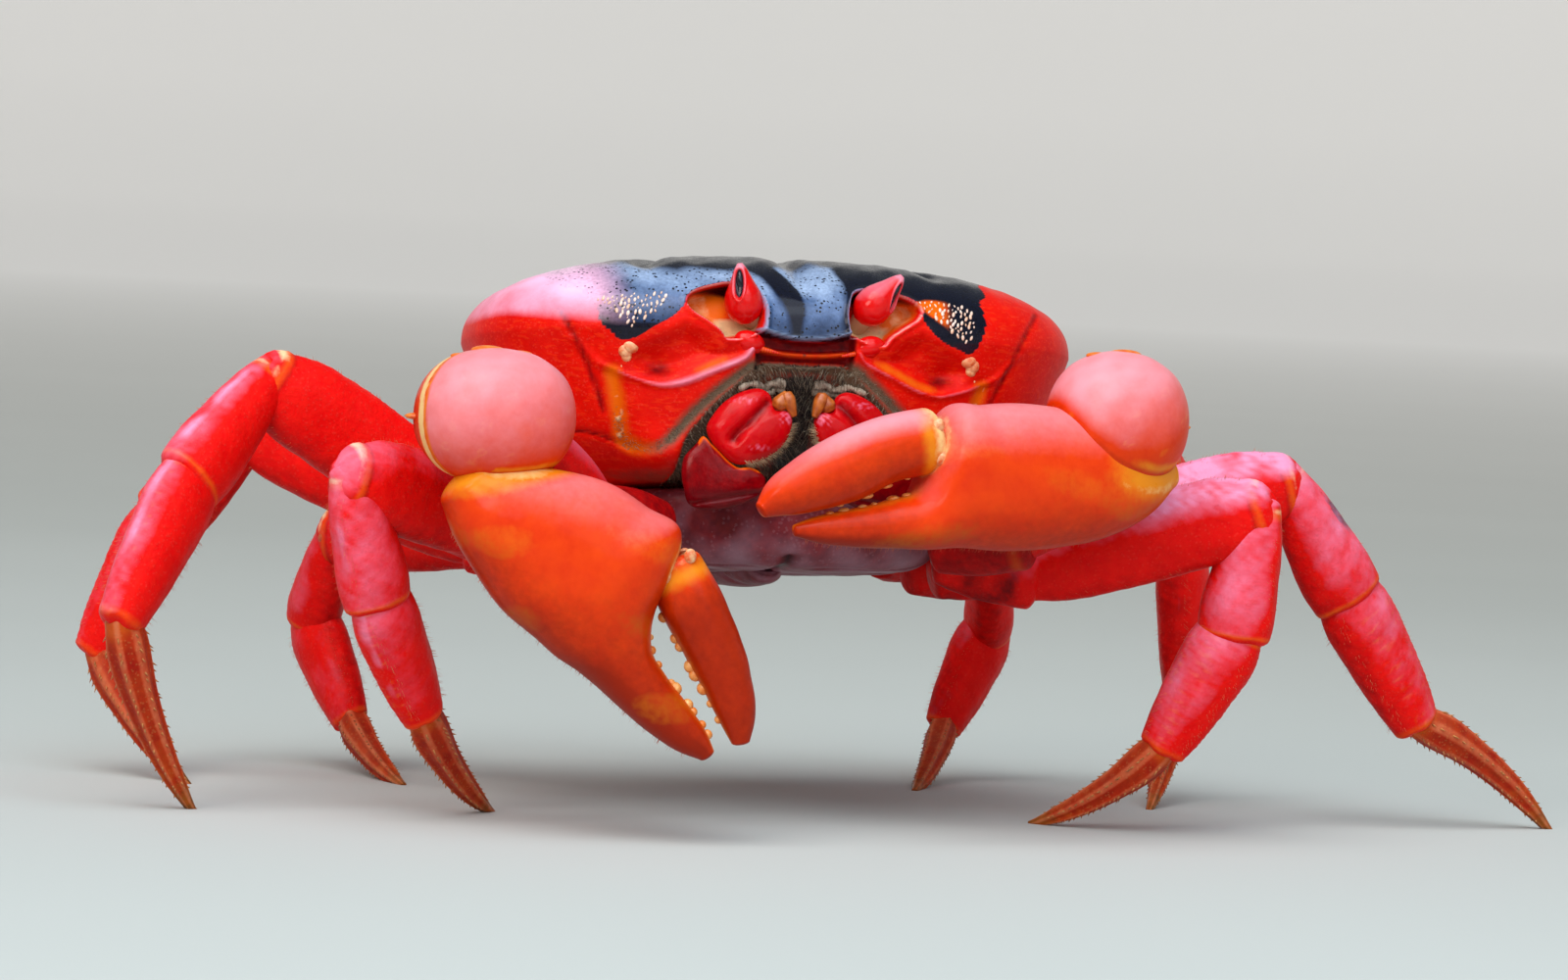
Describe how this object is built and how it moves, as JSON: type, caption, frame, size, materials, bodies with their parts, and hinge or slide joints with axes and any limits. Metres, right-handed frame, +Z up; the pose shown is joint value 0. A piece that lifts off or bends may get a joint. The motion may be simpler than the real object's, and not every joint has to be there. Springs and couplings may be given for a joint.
{
  "type": "christmas island red crab",
  "caption": "Life-size still model of a red land crab standing on eight legs, claws held in front, one at its mouth.",
  "frame": {"origin": "on the floor under the middle of the animal's bounding box", "axes": "+X to the crab's own left (its widest way), -Y the way it faces, +Z up"},
  "size_m": [0.2594, 0.1272, 0.0918],
  "materials": {
    "shell_black": "glossy blue-black shell with red sides",
    "leg_red": "granular red shell",
    "claw_orange": "smooth orange-red shell",
    "dactyl_brown": "dull brown-orange, spined",
    "mouth_red": "glossy deep red",
    "underside": "dark purple-red",
    "eye_red": "glossy red with a black cornea"
  },
  "bodies": {
    "root": {"antenna_L": "mouth_red", "antenna_R": "mouth_red", "carapace": "shell_black", "claw_L_carpus": "claw_orange", "claw_L_coxa": "leg_red", "claw_L_finger": "claw_orange", "claw_L_merus": "leg_red", "claw_L_palm": "claw_orange", "claw_R_carpus": "claw_orange", "claw_R_coxa": "leg_red", "claw_R_finger": "claw_orange", "claw_R_merus": "leg_red", "claw_R_palm": "claw_orange", "eye_L": "eye_red", "eye_R": "eye_red", "leg_L2_carpus": "leg_red", "leg_L2_coxa": "leg_red", "leg_L2_dactylus": "dactyl_brown", "leg_L2_merus": "leg_red", "leg_L2_propodus": "leg_red", "leg_L3_carpus": "leg_red", "leg_L3_coxa": "leg_red", "leg_L3_dactylus": "dactyl_brown", "leg_L3_merus": "leg_red", "leg_L3_propodus": "leg_red", "leg_L4_carpus": "leg_red", "leg_L4_coxa": "leg_red", "leg_L4_dactylus": "dactyl_brown", "leg_L4_merus": "leg_red", "leg_L4_propodus": "leg_red", "leg_L5_carpus": "leg_red", "leg_L5_coxa": "leg_red", "leg_L5_dactylus": "dactyl_brown", "leg_L5_merus": "leg_red", "leg_L5_propodus": "leg_red", "leg_R2_carpus": "leg_red", "leg_R2_coxa": "leg_red", "leg_R2_dactylus": "dactyl_brown", "leg_R2_merus": "leg_red", "leg_R2_propodus": "leg_red", "leg_R3_carpus": "leg_red", "leg_R3_coxa": "leg_red", "leg_R3_dactylus": "dactyl_brown", "leg_R3_merus": "leg_red", "leg_R3_propodus": "leg_red", "leg_R4_carpus": "leg_red", "leg_R4_coxa": "leg_red", "leg_R4_dactylus": "dactyl_brown", "leg_R4_merus": "leg_red", "leg_R4_propodus": "leg_red", "leg_R5_carpus": "leg_red", "leg_R5_coxa": "leg_red", "leg_R5_dactylus": "dactyl_brown", "leg_R5_merus": "leg_red", "leg_R5_propodus": "leg_red", "maxilliped_L": "mouth_red", "maxilliped_R": "mouth_red", "pleon": "underside", "sternum": "underside"}
  },
  "joints": []
}
